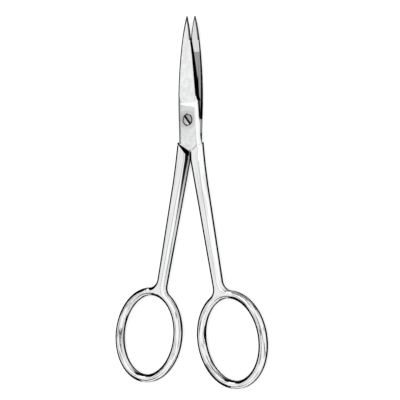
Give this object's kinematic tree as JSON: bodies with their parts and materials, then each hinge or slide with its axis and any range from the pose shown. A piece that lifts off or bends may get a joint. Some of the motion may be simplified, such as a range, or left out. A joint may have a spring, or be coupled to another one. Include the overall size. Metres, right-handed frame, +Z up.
{
  "type": "dissecting scissors",
  "caption": "Slender steel dissecting scissors with straight pointed blades, a lap joint on a slotted screw, long tapering shanks and oval finger rings.",
  "frame": {"origin": "on the pivot screw's axis, at the level of the surface that the scissors lie on", "axes": "+Y towards the blade tips along the middle between the halves, +Z up out of the front half's face, +X towards the front half's finger ring"},
  "size_m": [0.0706, 0.139, 0.0039],
  "materials": {
    "polished_steel": "satin blades and joint, polished shanks and rings",
    "screw_steel": "turned and polished"
  },
  "bodies": {
    "back": {"back_half": "polished_steel", "pivot_screw": "screw_steel"},
    "front": {"front_half": "polished_steel"}
  },
  "joints": [
    {"name": "pivot", "type": "hinge", "parent": "back", "child": "front", "pos_m": [0, 0, 0], "axis": [0, 0, 1], "range_deg": [-4.8, 55]}
  ]
}
